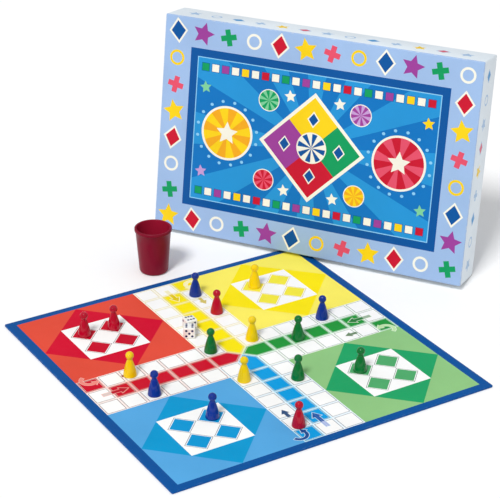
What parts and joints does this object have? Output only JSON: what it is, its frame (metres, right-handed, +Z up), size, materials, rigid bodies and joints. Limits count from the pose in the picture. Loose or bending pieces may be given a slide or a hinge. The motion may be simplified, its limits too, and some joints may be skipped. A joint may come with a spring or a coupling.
{
  "type": "ludo board game",
  "caption": "Boxed ludo set laid out for play: a folding board, coloured men, dice, a shaker cup and a closed two-piece lidded box standing behind.",
  "frame": {"origin": "the middle of the board's underside, on the table", "axes": "+Z up from the table; +Y along the crease of the board, from its blue and green side to its red and yellow side; +X from the red and blue half to the yellow and green half"},
  "size_m": [0.5062, 0.5075, 0.2436],
  "materials": {
    "greyboard": "grey recycled board",
    "border_paper": "satin laminated paper",
    "board_print": "satin printed paper",
    "lid_print": "gloss printed paper",
    "tray_paper": "matte paper",
    "insert_card": "uncoated card",
    "leaflet_paper": "uncoated paper",
    "red_plastic": "gloss moulded",
    "blue_plastic": "gloss moulded",
    "yellow_plastic": "gloss moulded",
    "green_plastic": "gloss moulded",
    "die_plastic": "gloss moulded",
    "cup_plastic": "satin moulded"
  },
  "bodies": {
    "board_right": {"board_core_right": "greyboard", "board_wrap_right": "border_paper", "board_label_right": "board_print"},
    "board_left": {"board_core_left": "greyboard", "board_wrap_left": "border_paper", "board_label_left": "board_print"},
    "man_red_1": {"man_red_1": "red_plastic"},
    "man_red_2": {"man_red_2": "red_plastic"},
    "man_red_3": {"man_red_3": "red_plastic"},
    "man_red_4": {"man_red_4": "red_plastic"},
    "man_blue_1": {"man_blue_1": "blue_plastic"},
    "man_blue_2": {"man_blue_2": "blue_plastic"},
    "man_blue_3": {"man_blue_3": "blue_plastic"},
    "man_blue_4": {"man_blue_4": "blue_plastic"},
    "man_yellow_1": {"man_yellow_1": "yellow_plastic"},
    "man_yellow_2": {"man_yellow_2": "yellow_plastic"},
    "man_yellow_3": {"man_yellow_3": "yellow_plastic"},
    "man_yellow_4": {"man_yellow_4": "yellow_plastic"},
    "man_green_1": {"man_green_1": "green_plastic"},
    "man_green_2": {"man_green_2": "green_plastic"},
    "man_green_3": {"man_green_3": "green_plastic"},
    "man_green_4": {"man_green_4": "green_plastic"},
    "die_front": {"die_front": "die_plastic"},
    "die_rear": {"die_rear": "die_plastic"},
    "shaker_cup": {"shaker_cup": "cup_plastic"},
    "box_tray": {"box_tray": "greyboard", "box_tray_wrap": "tray_paper", "box_divider": "insert_card", "rules_leaflet": "leaflet_paper"},
    "box_lid": {"box_lid": "greyboard", "box_lid_wrap": "lid_print"}
  },
  "joints": [
    {"name": "board_fold", "type": "hinge", "parent": "board_right", "child": "board_left", "pos_m": [0, 0, 0.0022], "axis": [0, 1, 0], "range_deg": [0, 78]},
    {"name": "man_red_1_lift", "type": "slide", "parent": "board_left", "child": "man_red_1", "axis": [0, 0, 1], "range_m": [0, 0.06]},
    {"name": "man_red_2_lift", "type": "slide", "parent": "board_left", "child": "man_red_2", "axis": [0, 0, 1], "range_m": [0, 0.06]},
    {"name": "man_red_3_lift", "type": "slide", "parent": "board_right", "child": "man_red_3", "axis": [0, 0, 1], "range_m": [0, 0.06]},
    {"name": "man_red_4_lift", "type": "slide", "parent": "board_left", "child": "man_red_4", "axis": [0, 0, 1], "range_m": [0, 0.06]},
    {"name": "man_blue_1_lift", "type": "slide", "parent": "board_right", "child": "man_blue_1", "axis": [0, 0, 1], "range_m": [0, 0.06]},
    {"name": "man_blue_2_lift", "type": "slide", "parent": "board_right", "child": "man_blue_2", "axis": [0, 0, 1], "range_m": [0, 0.06]},
    {"name": "man_blue_3_lift", "type": "slide", "parent": "board_left", "child": "man_blue_3", "axis": [0, 0, 1], "range_m": [0, 0.06]},
    {"name": "man_blue_4_lift", "type": "slide", "parent": "board_left", "child": "man_blue_4", "axis": [0, 0, 1], "range_m": [0, 0.06]},
    {"name": "man_yellow_1_lift", "type": "slide", "parent": "board_right", "child": "man_yellow_1", "axis": [0, 0, 1], "range_m": [0, 0.06]},
    {"name": "man_yellow_2_lift", "type": "slide", "parent": "board_right", "child": "man_yellow_2", "axis": [0, 0, 1], "range_m": [0, 0.06]},
    {"name": "man_yellow_3_lift", "type": "slide", "parent": "board_left", "child": "man_yellow_3", "axis": [0, 0, 1], "range_m": [0, 0.06]},
    {"name": "man_yellow_4_lift", "type": "slide", "parent": "board_left", "child": "man_yellow_4", "axis": [0, 0, 1], "range_m": [0, 0.06]},
    {"name": "man_green_1_lift", "type": "slide", "parent": "board_right", "child": "man_green_1", "axis": [0, 0, 1], "range_m": [0, 0.06]},
    {"name": "man_green_2_lift", "type": "slide", "parent": "board_left", "child": "man_green_2", "axis": [0, 0, 1], "range_m": [0, 0.06]},
    {"name": "man_green_3_lift", "type": "slide", "parent": "board_right", "child": "man_green_3", "axis": [0, 0, 1], "range_m": [0, 0.06]},
    {"name": "man_green_4_lift", "type": "slide", "parent": "board_right", "child": "man_green_4", "axis": [0, 0, 1], "range_m": [0, 0.06]},
    {"name": "die_front_lift", "type": "slide", "parent": "board_left", "child": "die_front", "axis": [0, 0, 1], "range_m": [0, 0.06]},
    {"name": "die_rear_lift", "type": "slide", "parent": "board_left", "child": "die_rear", "axis": [0, 0, 1], "range_m": [0, 0.06]},
    {"name": "shaker_cup_lift", "type": "slide", "parent": "board_right", "child": "shaker_cup", "axis": [0, 0, 1], "range_m": [0, 0.08]},
    {"name": "box_lift", "type": "slide", "parent": "board_right", "child": "box_tray", "axis": [0, 0, 1], "range_m": [0, 0.08]},
    {"name": "lid_off", "type": "slide", "parent": "box_tray", "child": "box_lid", "axis": [-0.8076, -0.5686, 0.1564], "range_m": [0, 0.055]}
  ]
}
